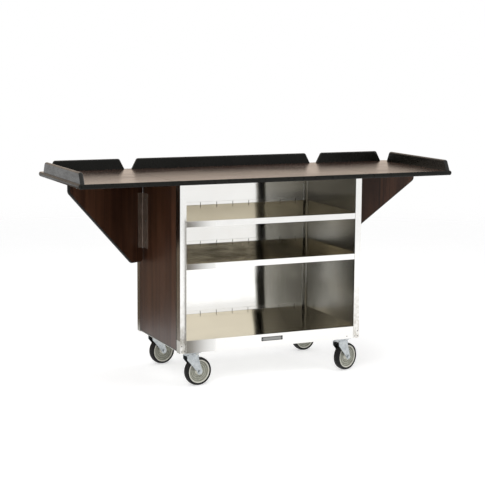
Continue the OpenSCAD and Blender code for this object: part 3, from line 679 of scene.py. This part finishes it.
def card(name, corner, along, up, faces, stops):
    """A flat card that only reflections see, spanned from its corner by two edges.
    Its stops are (share of the first edge, colour), and it is lit on the side that faces
    the given direction, and clear from behind."""
    corner, along, up = Vector(corner), Vector(along), Vector(up)
    mesh = bpy.data.meshes.new(name)
    mesh.from_pydata([corner, corner + along, corner + along + up, corner + up], [], [(0, 1, 2, 3)])
    obj = bpy.data.objects.new(name, mesh)
    bpy.context.scene.collection.objects.link(obj)
    finish = Finish(name, 1.0)
    tree = finish.tree
    tree.nodes.remove(finish.shader)
    step = finish.add("VectorMath", {0: finish.place, 1: corner}, operation="SUBTRACT").outputs[0]
    square = along - along.project(up)
    per_share = square / square.length_squared
    share = finish.add("VectorMath", {0: step, 1: per_share}, operation="DOT_PRODUCT").outputs["Value"]
    colour = stops[0][1]
    for (start, _), (end, tone) in zip(stops, stops[1:]):
        colour = finish.mix(finish.spread(share, start, end), colour, tone)
    values = {"Strength": 1.0, "Color": colour if len(stops) > 1 else (*colour, 1.0)}
    glow = finish.add("Emission", values).outputs[0]
    clear = finish.add("BsdfTransparent").outputs[0]
    front = along.cross(up).dot(faces) > 0
    behind = finish.add("NewGeometry").outputs["Backfacing"]
    pair = (glow, clear) if front else (clear, glow)
    out = finish.add("MixShader", {0: behind, 1: pair[0], 2: pair[1]}).outputs[0]
    tree.links.new(out, tree.nodes["Material Output"].inputs["Surface"])
    mesh.materials.append(finish.material)
    for ray in ("camera", "diffuse", "transmission", "volume_scatter", "shadow"):
        setattr(obj, "visible_" + ray, False)


BLACK = (0.030, 0.029, 0.025)
GLOOM = (0.055, 0.050, 0.042)
DARK = (0.150, 0.140, 0.120)
GREY = (0.30, 0.285, 0.25)
PALE_GREY = (0.22, 0.205, 0.18)
BROWN = (0.215, 0.165, 0.125)
WARM = (0.95, 0.80, 0.67)
WHITE = (1.0, 1.0, 1.0)
FRONT, BACK = -Y, Y

FLAG_SPLIT, FLAG_TOP = 0.80, 2.6
FLAG_WIDTH = Vector((1.60, 0.0, 0.0))
FLAG_RUN = Vector((-1.05, -2.30, 0.0))
FLAG_FOOT = Vector((-1.57, -1.10, 0.004))
FLAG_BEND = FLAG_FOOT + FLAG_RUN
DIM_SIDE = ((0.0, BLACK), (0.75, BLACK), (0.83, GREY))
HALF_SIDE = ((0.0, DARK), (0.77, DARK), (0.86, GREY))
LAMP_SIZE, FILL_SIZE = 2.4, 2.6

floor()
world()
card("floor_flag", FLAG_FOOT, FLAG_WIDTH, FLAG_RUN, Z, DIM_SIDE)
card("low_flag", FLAG_BEND, FLAG_WIDTH, FLAG_SPLIT * Z, BACK, HALF_SIDE)
card("high_flag", FLAG_BEND + FLAG_SPLIT * Z, FLAG_WIDTH, (FLAG_TOP - FLAG_SPLIT) * Z, BACK, ((0.0, GLOOM),))
card("back_wall", (-4.5, 2.9, 1.02), (9.0, 0.0, 0.0), (0.0, 0.0, 2.6), FRONT, ((0.0, WARM),))
card("left_flag", (-2.2, 1.05, 0.0), (1.7, 0.0, 0.0), (0.0, 0.0, 0.62), FRONT, ((0.0, BROWN),))
card("lip_flag", (-0.285, -0.62, 0.02), (0.155, 0.0, 0.0), (0.0, 0.0, 0.68), BACK,
     ((0.0, PALE_GREY), (1.0, WHITE)))
lamp("key", (-2.6, -3.6, 3.4), LAMP_SIZE, 0.34)
lamp("fill", (3.2, -3.0, 2.6), FILL_SIZE, 0.16)
lamp("top", (0.4, 0.8, 4.2), FILL_SIZE, 0.16)


CAMERA_AT = Vector((-2.5764, -5.6850, 1.5142))
CAMERA_YAW = math.radians(24.158)       # from +Y toward +X
CAMERA_PITCH = math.radians(8.412)      # down
CAMERA_ROLL = math.radians(-0.397)
CAMERA_LENS = 101.1                     # millimetres, on a 36 mm sensor


def camera():
    data = bpy.data.cameras.new("camera")
    data.lens = CAMERA_LENS
    obj = bpy.data.objects.new("camera", data)
    turn = Matrix.Rotation(-CAMERA_YAW, 4, "Z") @ Matrix.Rotation(math.pi / 2 - CAMERA_PITCH, 4, "X")
    obj.matrix_world = Matrix.Translation(CAMERA_AT) @ turn @ Matrix.Rotation(-CAMERA_ROLL, 4, "Z")
    bpy.context.scene.collection.objects.link(obj)
    bpy.context.scene.camera = obj


camera()
bpy.context.scene.view_settings.view_transform = "Standard"
